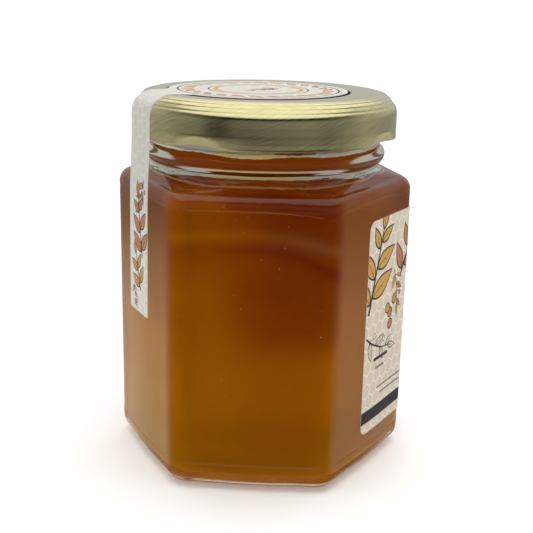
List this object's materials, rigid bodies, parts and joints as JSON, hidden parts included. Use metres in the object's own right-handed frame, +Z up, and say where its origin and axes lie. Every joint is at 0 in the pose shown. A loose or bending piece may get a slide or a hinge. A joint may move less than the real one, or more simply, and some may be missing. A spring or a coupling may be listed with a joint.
{
  "type": "honey jar",
  "caption": "Six-sided glass jar filled with honey, closed by a round gold twist-off lid, with a paper seal strip over the lid and a wrap-around paper label.",
  "frame": {"origin": "middle of the base, on the surface the jar stands on", "axes": "+Z up along the jar's axis; -Y out of the face seen square on, +X out of an upright corner"},
  "size_m": [0.0694, 0.0624, 0.0869],
  "materials": {
    "glass": "clear, polished",
    "honey": "clear dark amber liquid",
    "lid_metal": "gold lacquer over brushed tinplate",
    "seal_paper": "uncoated off-white paper",
    "label_paper": "uncoated beige paper, printed"
  },
  "bodies": {
    "root": {"glass_jar": "glass", "honey": "honey", "lid": "lid_metal", "seal_label": "seal_paper", "body_label": "label_paper"}
  },
  "joints": []
}
